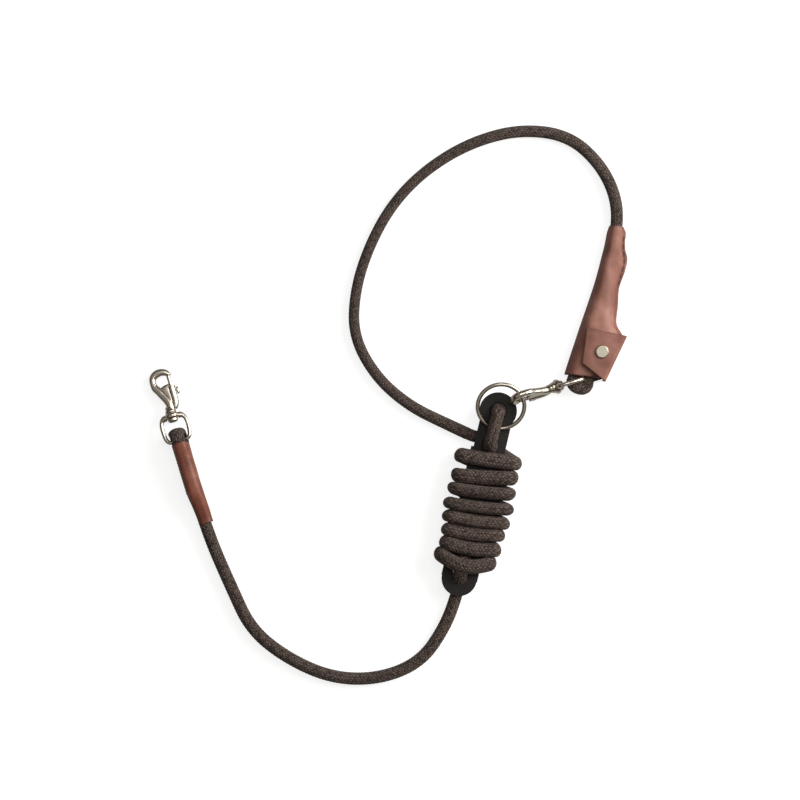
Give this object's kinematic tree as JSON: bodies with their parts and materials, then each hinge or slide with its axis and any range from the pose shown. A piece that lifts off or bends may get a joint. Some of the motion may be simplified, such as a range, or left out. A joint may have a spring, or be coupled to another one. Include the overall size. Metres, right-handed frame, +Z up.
{
  "type": "lead rope",
  "caption": "Braided horse lead rope with a swivel bolt snap in a leather sleeve, a flat winder plate wound with spare rope, and a loop ended by a leather pouch and second snap.",
  "frame": {"origin": "on the pouch's flat underside, below its press stud; the whole rope lies flat from there", "axes": "+Z up from the surface the rope lies on; +X away from the halter snap, towards the pouch's folded edge; +Y from the winder plate towards the loop"},
  "size_m": [0.4791, 0.5599, 0.0416],
  "materials": {
    "rope": "fine dark taupe braid with light flecks",
    "sleeve_leather": "smooth reddish brown, soft sheen",
    "pouch_leather": "matte pinkish brown",
    "thread": "waxed dark thread",
    "board": "matt black",
    "nickel": "polished warm nickel",
    "spring_steel": "drawn wire",
    "stud_metal": "satin champagne"
  },
  "bodies": {
    "root": {"lead_run": "rope", "rope_winding": "rope", "upper_lace": "rope", "loop_run": "rope", "loop_fold": "rope", "halter_fold": "rope", "winder_plate": "board", "lead_sleeve": "sleeve_leather", "halter_whipping": "thread", "sleeve_stitching": "thread", "loop_whipping": "thread", "pouch_body": "pouch_leather", "pouch_stitching": "thread", "stud_post": "stud_metal", "stud_base": "stud_metal"},
    "halter_eye": {"halter_eye": "nickel"},
    "halter_hook": {"halter_hook": "nickel", "halter_rivet": "nickel", "halter_spring": "spring_steel"},
    "halter_bolt": {"halter_bolt": "nickel", "halter_thumb_knob": "nickel"},
    "loop_eye": {"loop_eye": "nickel"},
    "loop_hook": {"loop_hook": "nickel", "loop_rivet": "nickel", "loop_spring": "spring_steel"},
    "loop_bolt": {"loop_bolt": "nickel", "loop_thumb_knob": "nickel"},
    "ring": {"o_ring": "nickel"},
    "flap": {"pouch_flap": "pouch_leather", "stud_cap": "stud_metal", "stud_socket": "stud_metal"}
  },
  "joints": [
    {"name": "halter_eye_swing", "type": "hinge", "parent": "root", "child": "halter_eye", "pos_m": [-0.4214, -0.0886, 0.0139], "axis": [0.9568, 0.2907, 0], "range_deg": [-100, 100]},
    {"name": "halter_swivel", "type": "hinge", "parent": "halter_eye", "child": "halter_hook", "pos_m": [-0.4214, -0.0886, 0.0139], "axis": [-0.2882, 0.9486, -0.1305], "continuous": true},
    {"name": "halter_bolt_slide", "type": "slide", "parent": "halter_hook", "child": "halter_bolt", "axis": [0.2882, -0.9486, 0.1305], "range_m": [0, 0.008], "stiffness_N_per_m": 300, "springref_m": -0.004, "deforming": ["halter_spring"]},
    {"name": "loop_eye_swing", "type": "hinge", "parent": "root", "child": "loop_eye", "pos_m": [-0.0205, -0.0274, 0.0147], "axis": [-0.2187, -0.0658, -0.9736], "range_deg": [-1.5, 1.5]},
    {"name": "loop_swivel", "type": "hinge", "parent": "loop_eye", "child": "loop_hook", "pos_m": [-0.0205, -0.0274, 0.0147], "axis": [-0.9323, -0.2803, 0.2284], "range_deg": [-8, 8]},
    {"name": "loop_bolt_slide", "type": "slide", "parent": "loop_hook", "child": "loop_bolt", "axis": [0.9323, 0.2803, -0.2284], "range_m": [0, 0.008], "stiffness_N_per_m": 300, "springref_m": -0.004, "deforming": ["loop_spring"]},
    {"name": "ring_spin", "type": "hinge", "parent": "root", "child": "ring", "pos_m": [-0.1006, -0.05435, 0.026], "axis": [0, -0.342, 0.9397], "continuous": true},
    {"name": "pouch_flap_hinge", "type": "hinge", "parent": "root", "child": "flap", "pos_m": [0.01375, -0.00775, 0.0226], "axis": [0.4272, 0.9041, 0], "range_deg": [0, 150]}
  ]
}
